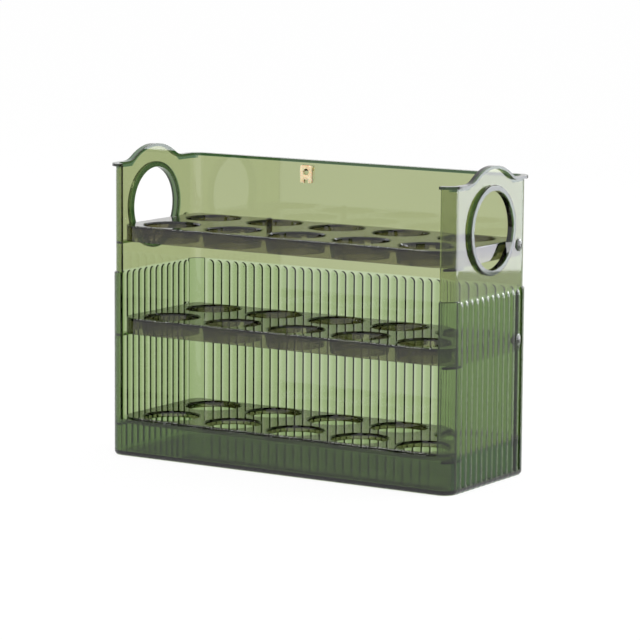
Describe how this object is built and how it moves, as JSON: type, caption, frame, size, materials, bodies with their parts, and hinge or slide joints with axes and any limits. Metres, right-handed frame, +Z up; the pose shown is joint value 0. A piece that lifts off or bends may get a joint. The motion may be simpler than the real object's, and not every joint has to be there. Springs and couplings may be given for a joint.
{
  "type": "egg dispenser box",
  "caption": "Clear open-fronted box for eggs, with a fixed tray and two trays that flip up on hinge pins, round handle holes and a reeded lower band.",
  "frame": {"origin": "centre of the box's footprint, on the surface it stands on", "axes": "+X along the box to its right-hand side seen from the front, +Y from the open front to the back wall, +Z up"},
  "size_m": [0.2646, 0.1026, 0.204],
  "materials": {
    "clear_body": "clear, tinted olive green, glossy",
    "smoky_tray": "clear, tinted smoky green, glossy",
    "pin": "clear, tinted smoky green, glossy",
    "catch": "opaque ivory, satin"
  },
  "bodies": {
    "box": {"box_body": "clear_body", "bottom_tray": "smoky_tray", "tray_catch": "catch"},
    "top_flip_tray": {"top_tray": "smoky_tray", "top_left_pin": "pin", "top_right_pin": "pin"},
    "middle_flip_tray": {"middle_tray": "smoky_tray", "middle_left_pin": "pin", "middle_right_pin": "pin"}
  },
  "joints": [
    {"name": "top_tray_hinge", "type": "hinge", "parent": "box", "child": "top_flip_tray", "pos_m": [0, 0.037, 0.1503], "axis": [-1, 0, 0], "range_deg": [0, 90]},
    {"name": "middle_tray_hinge", "type": "hinge", "parent": "box", "child": "middle_flip_tray", "pos_m": [0, 0.037, 0.0888], "axis": [-1, 0, 0], "range_deg": [0, 37]}
  ]
}
